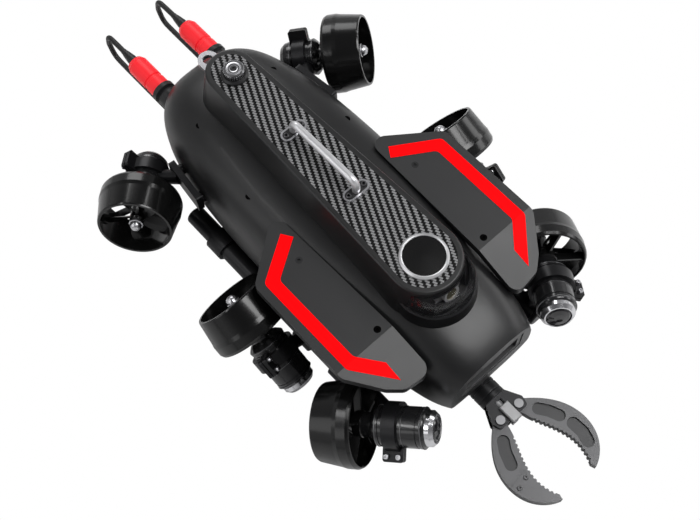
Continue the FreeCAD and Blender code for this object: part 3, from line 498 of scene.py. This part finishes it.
FINISHES = {
    "hull": Finish("hull_satin", (0.0075, 0.0075, 0.008), (0.011, 0.011, 0.0115), 0.37, 0.08,
                   coat=0.03, grain=500.0, depth=0.02),
    "satin": Finish("satin_black", (0.008, 0.008, 0.009), (0.015, 0.015, 0.016), 0.38, 0.14),
    "screw": Finish("screw_black", (0.0008, 0.0008, 0.0008), (0.002, 0.002, 0.002), 0.62, 0.10,
                    shine=0.02),
    "wing": Finish("wing_satin", (0.020, 0.0202, 0.021), (0.026, 0.0262, 0.027), 0.42, 0.08,
                   coat=0.05, grain=1400.0, depth=0.04),
    # The red stripe carries a painted glow (glow=0.30), so it looks brighter than the lamps make it.
    "stripe": Finish("stripe_red", (0.96, 0.0, 0.002), (0.90, 0.0, 0.001), 0.55, 0.08,
                     shine=0.06, glow=0.30),
    "duct": Finish("duct_gloss", (0.003, 0.003, 0.003), (0.006, 0.006, 0.006), 0.20, 0.08,
                   coat=0.2, shine=0.4),
    "anodised": Finish("anodised_black", (0.010, 0.010, 0.011), (0.020, 0.020, 0.022), 0.30, 0.12,
                       metal=0.5, grain=2200.0, depth=0.04),
    "jaw": Finish("jaw_grey", (0.105, 0.105, 0.108), (0.15, 0.15, 0.155), 0.42, 0.14,
                  metal=0.3, grain=1800.0, depth=0.06),
    "pod": Finish("pod_gloss", (0.012, 0.012, 0.013), (0.020, 0.020, 0.021), 0.20, 0.08,
                  metal=0.2, coat=0.5, grain=1600.0, depth=0.02),
    "nose": Finish("nose_grey", (0.030, 0.030, 0.032), (0.048, 0.048, 0.05), 0.40, 0.12),
    "steel": Finish("bright_steel", (0.66, 0.66, 0.68), (0.46, 0.46, 0.48), 0.28, 0.14,
                    metal=1.0, grain=2600.0, depth=0.05),
    "dark_steel": Finish("dark_steel", (0.20, 0.20, 0.205), (0.11, 0.11, 0.115), 0.26, 0.14,
                         metal=1.0, grain=2600.0, depth=0.05),
    "chrome": Finish("polished_ring", (0.80, 0.80, 0.82), (0.66, 0.66, 0.68), 0.16, 0.06,
                     metal=1.0, depth=0.0),
    "silver": Finish("handle_silver", (0.80, 0.80, 0.81), (0.62, 0.62, 0.64), 0.32, 0.12, metal=0.7),
    "lens": Finish("lens_black", (0.003, 0.003, 0.004), (0.006, 0.006, 0.008), 0.06, 0.04,
                   coat=0.9, depth=0.0),
    "cable": Finish("cable_rubber", (0.007, 0.007, 0.007), (0.014, 0.014, 0.014), 0.48, 0.14),
    "badge": Finish("badge_black", (0.002, 0.002, 0.002), (0.004, 0.004, 0.004), 0.22, 0.05,
                    coat=0.3, depth=0.01),
    "cells": Finish("sealed_unit", (0.16, 0.17, 0.19), (0.22, 0.23, 0.25), 0.45, 0.12),
    "glint": Finish("mirror_olive", (0.50, 0.46, 0.32), (0.20, 0.18, 0.11), 0.16, 0.10, metal=0.8),
    "bracket": Finish("bracket_grey", (0.34, 0.34, 0.345), (0.46, 0.46, 0.465), 0.40, 0.14, metal=0.3),
}

NODE_FINISH = {
    "hull": ("upper_shell", "lower_shell", "spine_ridge"),
    "wing": ("wing_port", "wing_starboard"),
    "stripe": ("wing_stripes",),
    "chrome": ("lamp_bezels",),
    "badge": ("badge_disc",),
    "steel": ("clamp_screws", "tow_eye", "handle_feet"),
    "dark_steel": ("vent_knob", "handle_screws", "pivot_pins"),
    "silver": ("carry_handle", "badge_ring"),
    "lens": ("lamp_lenses",),
    "glint": ("camera_lens",),
    "bracket": ("camera_module", "gripper_slider"),
    "jaw": ("jaw_port", "jaw_starboard", "jaw_tip_plate"),
    "nose": ("nose_frame",),
    "cells": ("battery_packs", "electronics_canister"),
    "pod": ("rear_pods", "middle_pods", "front_pods"),
    "anodised": ("rear_clamps", "middle_clamps", "front_clamps", "gripper_arm", "gripper_fork",
                 "side_rails", "rail_brackets", "rear_bars", "camera_ring"),
}


RELIEF_LENGTH = 20.5 * MM


@dataclass
class Wardrobe:
    """Gives every carried-over CAD node its finish."""

    made: dict[str, bpy.types.Material] = field(default_factory=dict)

    def get(self, key: str) -> bpy.types.Material:
        """Look up a finish.

        Args:
            key: Key in FINISHES.

        Returns:
            Its material, built once.
        """
        if key not in self.made:
            self.made[key] = FINISHES[key].make()
        return self.made[key]

    def dress(self) -> None:
        """Assign a finish to each CAD node."""
        chosen = {n: key for key, names in NODE_FINISH.items() for n in names}
        jaw = make_jaw(FINISHES["jaw"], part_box("jaw_port")[1].z - POCKET_DEPTH)
        special = {
            "jaw_port": jaw,
            "jaw_starboard": jaw,
            "shell_screws": make_screws(FINISHES["screw"], SCREW_PAINT_AND_SHEEN, PAINTED_SCREW_X),
            "carbon_inlay": make_carbon(),
            "battery_plugs": make_plug(plug_split()),
            "camera_window": make_clear("window_clear", CLEAR_TINT, CLEAR_HAZE),
        }
        for name, obj in frame["nodes"].items():
            if name in special:
                material = special[name]
            elif "nozzle" in name or "propeller" in name:
                material = self.get("duct")
            else:
                material = self.get(chosen.get(name, "satin"))
            obj.data.materials.clear()
            obj.data.materials.append(material)
        log.info("dressed %d nodes", len(frame["nodes"]))


def plug_split() -> float:
    """X of the step between the red sleeve and the strain relief, in metres."""
    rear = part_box("battery_plugs")[0].x
    return rear + RELIEF_LENGTH


# ------------------------------------------------------------------ mesh helpers

SMOOTH_BELOW = math.radians(35.0)
RIB_SMOOTH_BELOW = math.radians(40.0)
ROUND_STEPS = 48
BOOT_STEPS = 32
ON_AXIS = 1e-6


def new_object(name: str, bm: bmesh.types.BMesh, material: bpy.types.Material) -> bpy.types.Object:
    """Turn a bmesh into a linked object with smooth shading by angle.

    Args:
        name: Name of the piece.
        bm: Its mesh, freed here.
        material: Its only material.

    Returns:
        The new object at the origin.
    """
    bmesh.ops.recalc_face_normals(bm, faces=bm.faces)
    mesh = bpy.data.meshes.new(name)
    bm.to_mesh(mesh)
    bm.free()
    mesh.materials.append(material)
    obj = bpy.data.objects.new(name, mesh)
    bpy.context.scene.collection.objects.link(obj)
    mesh.shade_smooth()
    mesh.set_sharp_from_angle(angle=SMOOTH_BELOW)
    return obj


def lathe(profile: list[Point], placement: Matrix, steps: int = ROUND_STEPS) -> bmesh.types.BMesh:
    """Revolve (radius, height) points in mm about local Z and place them.

    Args:
        profile: Points from axis to axis, or a loop whose last point is its first.
        placement: Placement in metres.
        steps: Segments round the axis.

    Returns:
        The surface, welded where a loop closes.
    """
    bm = bmesh.new()
    rings = []
    for r, h in profile:
        if r < ON_AXIS:
            rings.append([bm.verts.new(placement @ Vector((0, 0, h * MM)))])
            continue
        ring = []
        for i in range(steps):
            a = 2 * math.pi * i / steps
            point = Vector((r * MM * math.cos(a), r * MM * math.sin(a), h * MM))
            ring.append(bm.verts.new(placement @ point))
        rings.append(ring)
    for a, b in zip(rings, rings[1:]):
        for i in range(steps):
            j = (i + 1) % steps
            if len(a) == 1:
                bm.faces.new((a[0], b[i], b[j]))
            elif len(b) == 1:
                bm.faces.new((a[i], b[0], a[j]))
            else:
                bm.faces.new((a[i], b[i], b[j], a[j]))
    if profile[0] == profile[-1]:
        bmesh.ops.remove_doubles(bm, verts=bm.verts, dist=WELD)
    return bm


def aim(origin: Vector, axis: Vector) -> Matrix:
    """Make a placement whose local Z runs along an axis.

    Args:
        origin: Its origin, in metres.
        axis: Direction of local Z.

    Returns:
        The placement.
    """
    turn = axis.normalized().to_track_quat("Z", "Y").to_matrix().to_4x4()
    return Matrix.Translation(origin) @ turn


# ------------------------------------------------------------------ thrusters

POD_RADIUS = 23.0
POD_BANDS = (46.0, 76.0, 98.0)
REAR_POD_BANDS = POD_BANDS[:2]
NUT_PROFILE = [
    (0, -22.0), (3.2, -21.6), (5.4, -20.0), (6.8, -17.4), (7.2, -14.8), (8.4, -14.2),
    (8.6, -11.8), (7.8, -10.8), (0, -10.8),
]
BAND_PROFILE = [(-0.8, 0.0), (0.35, 0.2), (0.45, 0.7), (0.35, 1.2), (-0.8, 1.4)]


@dataclass
class Thruster:
    """Dome nut and turned pod rings of one thruster, on the axis of its propeller's joint.

    Args:
        place: Which pair it belongs to: rear, middle or front.
        side: Its side.
        wardrobe: Source of its materials.
    """

    place: str
    side: Side
    wardrobe: Wardrobe

    @property
    def joint(self) -> dict:
        """The frame's joint that this propeller turns on."""
        wanted = f"{self.place}_spin_{self.side.word}"
        return next(j for j in frame["joints"] if j["name"] == wanted)

    def build(self) -> None:
        """Add the nut over the propeller hub and the fine rings round the pod."""
        matrix = aim(Vector(self.joint["pos_m"]), Vector(self.joint["axis"]))
        tag = f"{self.place}_{self.side.word}"
        nut = new_object(f"nut_{tag}", lathe(NUT_PROFILE, matrix), self.wardrobe.get("steel"))
        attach(nut, f"{self.place}_propeller_{self.side.word}_body")
        self.add_bands(tag, matrix)
        log.info("thruster %s", tag)

    def add_bands(self, tag: str, matrix: Matrix) -> None:
        """Add thin turned rings on the pod, in front of and behind the clamp.

        Args:
            tag: Ending of the piece's name.
            matrix: Placement of the thruster's axis.
        """
        spots = REAR_POD_BANDS if self.place == "rear" else POD_BANDS
        whole = bmesh.new()
        for spot in spots:
            ring = [(POD_RADIUS + r, spot + h) for r, h in BAND_PROFILE]
            part = lathe(ring + ring[:1], matrix)
            mesh = bpy.data.meshes.new("band")
            part.to_mesh(mesh)
            part.free()
            whole.from_mesh(mesh)
            bpy.data.meshes.remove(mesh)
        bands = new_object(f"pod_rings_{tag}", whole, self.wardrobe.get("dark_steel"))
        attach(bands, "vehicle")


# ------------------------------------------------------------------ knurled knob by geometry nodes

RIB_SIDES = 10
RING_INPUTS = {
    "Count": "NodeSocketInt",
    "Radius": "NodeSocketFloat",
    "Height": "NodeSocketFloat",
    "Width": "NodeSocketFloat",
    "Finish": "NodeSocketMaterial",
}


def ring_nodes(name: str) -> bpy.types.NodeTree:
    """Geometry nodes that set copies of a small rib round a circle and realise them.

    Args:
        name: Name of the group.

    Returns:
        The group.
    """
    tree = bpy.data.node_groups.new(name, "GeometryNodeTree")
    tree.interface.new_socket("Geometry", in_out="INPUT", socket_type="NodeSocketGeometry")
    for label, kind in RING_INPUTS.items():
        tree.interface.new_socket(label, in_out="INPUT", socket_type=kind)
    tree.interface.new_socket("Geometry", in_out="OUTPUT", socket_type="NodeSocketGeometry")
    n = tree.nodes
    given = n.new("NodeGroupInput")
    out = n.new("NodeGroupOutput")
    circle = n.new("GeometryNodeMeshCircle")
    rib = n.new("GeometryNodeMeshCylinder")
    rib.inputs["Vertices"].default_value = RIB_SIDES
    place = n.new("GeometryNodeInstanceOnPoints")
    real = n.new("GeometryNodeRealizeInstances")
    paint = n.new("GeometryNodeSetMaterial")
    link = tree.links.new
    link(given.outputs["Count"], circle.inputs["Vertices"])
    link(given.outputs["Radius"], circle.inputs["Radius"])
    link(given.outputs["Width"], rib.inputs["Radius"])
    link(given.outputs["Height"], rib.inputs["Depth"])
    link(circle.outputs["Mesh"], place.inputs["Points"])
    link(rib.outputs["Mesh"], place.inputs["Instance"])
    link(place.outputs["Instances"], real.inputs["Geometry"])
    link(real.outputs["Geometry"], paint.inputs["Geometry"])
    link(given.outputs["Finish"], paint.inputs["Material"])
    link(paint.outputs["Geometry"], out.inputs["Geometry"])
    return tree


def ring_of_ribs(name: str, tree: bpy.types.NodeTree, values: dict, matrix: Matrix) -> bpy.types.Object:
    """Run the ring nodes once and keep the result as a plain mesh.

    Args:
        name: Name of the piece.
        tree: Group made by ring_nodes.
        values: Input values by socket name.
        matrix: Placement of the ring.

    Returns:
        The finished object at the origin.
    """
    carrier = bpy.data.objects.new(name + "_carrier", bpy.data.meshes.new(name + "_carrier"))
    bpy.context.scene.collection.objects.link(carrier)
    modifier = carrier.modifiers.new("ring", "NODES")
    modifier.node_group = tree
    for item in tree.interface.items_tree:
        if item.in_out == "INPUT" and item.name in values:
            modifier[item.identifier] = values[item.name]
    graph = bpy.context.evaluated_depsgraph_get()
    graph.update()
    mesh = bpy.data.meshes.new_from_object(carrier.evaluated_get(graph), depsgraph=graph)
    bpy.data.objects.remove(carrier)
    mesh.transform(matrix)
    mesh.name = name
    obj = bpy.data.objects.new(name, mesh)
    bpy.context.scene.collection.objects.link(obj)
    mesh.shade_smooth()
    mesh.set_sharp_from_angle(angle=RIB_SMOOTH_BELOW)
    return obj


def below(top: Vector, drop: float) -> Matrix:
    """Make an upright placement under a point.

    Args:
        top: The point, in metres.
        drop: Distance below it.

    Returns:
        The placement.
    """
    return Matrix.Translation(top - Vector((0, 0, drop)))


KNOB_SCREW = [(0, 0.4), (2.0, 0.4), (2.2, 1.4), (3.6, 1.2), (4.0, 0.5), (4.0, -0.2), (0, -0.2)]
KNOB_CROWN = [
    (3.9, -0.4), (3.9, 0.45), (5.0, 0.6), (5.3, 0.15), (6.4, 0.15), (6.7, 0.6), (8.6, 0.6),
    (9.4, 0.2), (9.6, -0.4), (3.9, -0.4),
]


@dataclass
class Knob:
    """Knurling, crown and centre screw of the vent knob.

    Args:
        wardrobe: Source of its materials.
        ribs: Number of ribs round the rim.
        rib_radius: Radius of one rib.
        rib_height: Height of the ribs.
        rib_inset: How far the ribs' axes lie inside the rim.
        rib_drop: Middle of the ribs below the top of the knob.
        screw_drop: Seat of the screw below the top of the knob.
        crown_drop: Seat of the crown below the top of the knob.
    """

    wardrobe: Wardrobe
    ribs: int = 30
    rib_radius: float = 0.8 * MM
    rib_height: float = 5.0 * MM
    rib_inset: float = 0.75 * MM
    rib_drop: float = 3.6 * MM
    screw_drop: float = 1.4 * MM
    crown_drop: float = 0.4 * MM

    def build(self, tree: bpy.types.NodeTree) -> None:
        """Set ribs round the rim, a turned crown on top and a dark screw in the middle.

        Args:
            tree: Group made by ring_nodes.
        """
        low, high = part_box("vent_knob")
        top = Vector(((low.x + high.x) / 2, (low.y + high.y) / 2, high.z))
        values = {
            "Count": self.ribs,
            "Radius": (high.x - low.x) / 2 - self.rib_inset,
            "Width": self.rib_radius,
            "Height": self.rib_height,
            "Finish": self.wardrobe.get("steel"),
        }
        knurl = ring_of_ribs("knob_knurl", tree, values, below(top, self.rib_drop))
        self.declare(knurl)
        screw = lathe(KNOB_SCREW, below(top, self.screw_drop))
        self.declare(new_object("knob_screw", screw, self.wardrobe.get("satin")))
        crown = lathe(KNOB_CROWN, below(top, self.crown_drop))
        self.declare(new_object("knob_crown", crown, self.wardrobe.get("steel")))
        log.info("knob with %d ribs", self.ribs)

    def declare(self, obj: bpy.types.Object) -> None:
        """Declare a piece that turns with the knob.

        Args:
            obj: The piece.
        """
        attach(obj, "knob_body")


# ------------------------------------------------------------------ handle feet

STADIUM_STEPS = 16


def stadium(centre: Vector, length: float, width: float, thick: float) -> bmesh.types.BMesh:
    """Flat plate with round ends, long along Y.

    Args:
        centre: Middle of its underside, in metres.
        length: Overall length in metres.
        width: Overall width in metres.
        thick: Thickness in metres.

    Returns:
        The closed plate.
    """
    bm = bmesh.new()
    radius = width / 2
    reach = length / 2 - radius
    outline = []
    for end, start in ((reach, 0.0), (-reach, math.pi)):
        for n in range(STADIUM_STEPS + 1):
            angle = start + math.pi * n / STADIUM_STEPS
            outline.append((radius * math.cos(angle), radius * math.sin(angle) + end))
    low = [bm.verts.new(centre + Vector((x, y, 0))) for x, y in outline]
    high = [bm.verts.new(centre + Vector((x, y, thick))) for x, y in outline]
    count = len(outline)
    bm.faces.new(low[::-1])
    bm.faces.new(high)
    for i in range(count):
        j = (i + 1) % count
        bm.faces.new((low[i], low[j], high[j], high[i]))
    bmesh.ops.remove_doubles(bm, verts=bm.verts, dist=WELD)
    return bm


@dataclass
class FootInsets:
    """Dark pads let into the bright feet of the carry handle.

    Args:
        wardrobe: Source of the material.
        foot_width: Width of a foot along X.
        border: Bright edge left round a pad.
        seat: How deep a pad is let in.
        thick: Thickness of a pad.
    """

    wardrobe: Wardrobe
    foot_width: float = 15 * MM
    border: float = 2.2 * MM
    seat: float = 0.2 * MM
    thick: float = 0.4 * MM

    def build(self) -> None:
        """Lay one pad on each foot."""
        low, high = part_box("handle_feet")
        half = self.foot_width / 2
        for word, x in (("rear", low.x + half), ("front", high.x - half)):
            seat = Vector((x, (low.y + high.y) / 2, high.z - self.seat))
            length = high.y - low.y - 2 * self.border
            pad = stadium(seat, length, self.foot_width - 2 * self.border, self.thick)
            obj = new_object(f"foot_pad_{word}", pad, self.wardrobe.get("satin"))
            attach(obj, "vehicle")


# ------------------------------------------------------------------ leads

LEAD_ROUNDNESS = 6
LEAD_STEPS = 16
BOOT_R = 7.2
BOOT_BORE = 3.4
BOOT_RIBS = 7
BOOT_PITCH = 4.0
BOOT_TAPER = 0.45
BOOT_GROOVE = 0.5
BOOT_FOOT = -2.0
BOOT_LAND = 0.5
BOOT_GROOVE_FROM = 1.8
BOOT_GROOVE_TO = 2.4
BOOT_NECK = (3.9, 29.0)
BOOT_END = 29.4


@dataclass
class Lead:
    """One battery lead, from its strain relief round to the gland under the tail.

    Args:
        side: Its side.
        wardrobe: Source of its material.
        radius: Radius of the lead.
        offset: Distance from the vehicle's middle plane.
        start: X where it leaves the relief.
        gland: X where it ends in the gland.
        back: X of the rearmost run.
        top: Height of the upper run.
        low: Height of the lower run.
        bend: Radius of the two bends.
        ease: How far the control points by a corner stand off it, as a share of the bend.
        sag: Their share of that distance up or down.
        straight: Length of the straight run out of the relief.
        entry: Two places of the lower run ahead of the gland, as distances from its end.
    """

    side: Side
    wardrobe: Wardrobe
    radius: float = 3.5 * MM
    offset: float = 0.041
    start: float = -0.370
    gland: float = -0.284
    back: float = -0.438
    top: float = 0.107
    low: float = 0.060
    bend: float = 0.0215
    ease: float = 0.24
    sag: float = 0.4
    straight: float = 24 * MM
    entry: Point = (78 * MM, 36 * MM)

    @property
    def route(self) -> list[Vector]:
        """Control points of the lead, along the CAD route, in metres."""
        off = self.bend * self.ease
        sag = off * self.sag
        turn = self.back + self.bend
        steps = (
            (self.start, self.top), (self.start - self.straight, self.top), (turn, self.top),
            (self.back + off, self.top - sag), (self.back, self.top - self.bend),
            (self.back, self.low + self.bend), (self.back + off, self.low + sag), (turn, self.low),
            *((self.gland - ahead, self.low) for ahead in self.entry), (self.gland, self.low),
        )
        return [Vector((x, self.side.value * self.offset, z)) for x, z in steps]

    def build(self) -> None:
        data = bpy.data.curves.new(f"cable_{self.side.word}", "CURVE")
        data.dimensions = "3D"
        data.bevel_depth = self.radius
        data.bevel_resolution = LEAD_ROUNDNESS
        data.resolution_u = LEAD_STEPS
        data.use_fill_caps = True
        spline = data.splines.new("NURBS")
        points = self.route
        spline.points.add(len(points) - 1)
        for slot, point in zip(spline.points, points):
            slot.co = (*point, 1.0)
        spline.order_u = 3
        spline.use_endpoint_u = True
        data.materials.append(self.wardrobe.get("cable"))
        cable = bpy.data.objects.new(data.name, data)
        bpy.context.scene.collection.objects.link(cable)
        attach(cable, "vehicle")
        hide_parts(f"lead_{self.side.word}")
        self.add_boot(points[0])
        log.info("lead %s", self.side.word)

    def add_boot(self, start: Vector) -> None:
        """Slide a ribbed rubber boot over the start of the lead.

        Args:
            start: Where the lead leaves the strain relief.
        """
        shape = lathe(boot_profile(), aim(start, Vector((-1, 0, 0))), steps=BOOT_STEPS)
        boot = new_object(f"boot_{self.side.word}", shape, self.wardrobe.get("cable"))
        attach(boot, "vehicle")


def boot_profile() -> list[Point]:
    """Tapered boot with shallow flex ribs, as (radius, height) in mm.

    Returns:
        A loop whose last point is its first.
    """
    foot = (BOOT_BORE, BOOT_FOOT)
    profile = [foot, (BOOT_R, BOOT_FOOT)]
    for n in range(BOOT_RIBS):
        height = BOOT_LAND + n * BOOT_PITCH
        radius = BOOT_R - n * BOOT_TAPER
        groove = radius - BOOT_GROOVE
        profile += [(radius, height), (groove, height + BOOT_GROOVE_FROM),
                    (groove, height + BOOT_GROOVE_TO)]
    return profile + [BOOT_NECK, (BOOT_BORE, BOOT_END), foot]


# ------------------------------------------------------------------ studio

SENSOR_WIDTH = 36.0
NEAREST = 10 * MM
LIT_POINT = Vector((0, 0, 0.1))
WHITE = (1.0, 1.0, 1.0)


@dataclass(frozen=True)
class Shot:
    """Camera of the main picture.

    Args:
        eye: Its place, in metres.
        target: What it looks at, in metres.
        roll: Roll about its line of sight, in degrees.
        lens: Focal length in millimetres.
    """

    eye: tuple[float, float, float] = (0.430, -0.369, 1.286)
    target: tuple[float, float, float] = (0.0143, -0.0237, 0.100)
    roll: float = -2.8
    lens: float = 57.0

    def build(self) -> None:
        """Create the camera and make it the scene's camera."""
        data = bpy.data.cameras.new("camera")
        data.lens = self.lens
        data.sensor_width = SENSOR_WIDTH
        data.clip_start = NEAREST
        camera = bpy.data.objects.new("camera", data)
        look = Vector(self.target) - Vector(self.eye)
        turn = look.to_track_quat("-Z", "Y").to_matrix().to_4x4()
        spin = Matrix.Rotation(math.radians(self.roll), 4, "Z")
        camera.matrix_world = Matrix.Translation(Vector(self.eye)) @ turn @ spin
        bpy.context.scene.collection.objects.link(camera)
        bpy.context.scene.camera = camera


@dataclass(frozen=True)
class Softbox:
    """One area light aimed at the object.

    Args:
        name: Name of the light.
        spot: Its place, in metres.
        size: Its two sides, in metres.
        power: Its power in watts.
    """

    name: str
    spot: tuple[float, float, float]
    size: tuple[float, float]
    power: float

    def build(self) -> None:
        """Create the light."""
        data = bpy.data.lights.new(self.name, "AREA")
        data.shape = "RECTANGLE"
        data.size, data.size_y = self.size
        data.energy = self.power
        light = bpy.data.objects.new(self.name, data)
        spot = Vector(self.spot)
        turn = (LIT_POINT - spot).to_track_quat("-Z", "Y").to_matrix().to_4x4()
        light.matrix_world = Matrix.Translation(spot) @ turn
        bpy.context.scene.collection.objects.link(light)


LIGHTS = (
    Softbox("top_front", (0.55, 0.55, 1.9), (0.9, 0.9), 19.0),
    Softbox("key_left", (-0.5, -1.9, 1.1), (1.8, 0.8), 5.0),
    Softbox("strip_left", (-0.7, -1.1, 1.7), (1.6, 0.12), 5.0),
    Softbox("strip_right", (0.3, 1.2, 1.6), (1.6, 0.12), 4.0),
    Softbox("top_rear", (-1.6, 0.7, 1.3), (1.0, 0.8), 9.0),
    Softbox("fill_right", (0.6, 1.9, 0.8), (1.4, 0.6), 7.0),
)


FLOOR_SIZE = 6.0
FLOOR_WHITES = ((0.80, 0.80, 0.80), (0.84, 0.84, 0.84))
FLOOR_ROUGHNESS = 0.9
FLOOR_MOTTLE = 3.0


def build_floor() -> None:
    """Pale floor that the camera sees as plain white."""
    bm = bmesh.new()
    bmesh.ops.create_grid(bm, x_segments=2, y_segments=2, size=FLOOR_SIZE)
    material, g, shader, place = start_material("floor_white")
    noise = g.add("TexNoise", Scale=FLOOR_MOTTLE)
    g.join(place, noise.inputs["Vector"])
    g.join(g.mix(noise.outputs[0], *FLOOR_WHITES), shader.inputs["Base Color"])
    shader.inputs["Roughness"].default_value = FLOOR_ROUGHNESS
    glow = g.add("Emission")
    glow.inputs["Color"].default_value = (*WHITE, 1.0)
    path = g.add("LightPath")
    mix = g.add("MixShader")
    g.join(path.outputs["Is Camera Ray"], mix.inputs[0])
    g.join(shader.outputs[0], mix.inputs[1])
    g.join(glow.outputs[0], mix.inputs[2])
    g.join(mix.outputs[0], g.tree.nodes["Material Output"].inputs["Surface"])
    floor = new_object("floor", bm, material)


HORIZON = (0.46, 0.46, 0.465)
OVERHEAD = (0.10, 0.10, 0.105)
HORIZON_UP_TO = 0.15
OVERHEAD_FROM = 0.80


def build_world() -> None:
    """Soft surround, bright at the horizon and dim overhead, that the camera sees as white."""
    world = bpy.data.worlds.new("studio")
    world.use_nodes = True
    bpy.context.scene.world = world
    g = Graph(world.node_tree)
    background = world.node_tree.nodes["Background"]
    background.inputs["Strength"].default_value = 1.0
    split = g.add("SeparateXYZ")
    g.join(g.add("TexCoord").outputs["Generated"], split.inputs[0])
    height = g.add("MapRange", interpolation_type="SMOOTHSTEP")
    g.join(split.outputs[2], height.inputs["Value"])
    height.inputs["From Min"].default_value = HORIZON_UP_TO
    height.inputs["From Max"].default_value = OVERHEAD_FROM
    sky = g.mix(height.outputs["Result"], HORIZON, OVERHEAD)
    path = g.add("LightPath")
    g.join(g.mix(path.outputs["Is Camera Ray"], sky, WHITE), background.inputs["Color"])
    bpy.context.scene.view_settings.view_transform = "Standard"


def main() -> None:
    """Dress the frame, add the fine pieces and set the studio."""
    wardrobe = Wardrobe()
    wardrobe.dress()
    for place in ("rear", "middle", "front"):
        for side in Side:
            Thruster(place, side, wardrobe).build()
    Knob(wardrobe).build(ring_nodes("rib_ring"))
    FootInsets(wardrobe).build()
    for side in Side:
        Lead(side, wardrobe).build()
    build_floor()
    build_world()
    for light in LIGHTS:
        light.build()
    Shot().build()


if __name__ == "__main__":
    main()
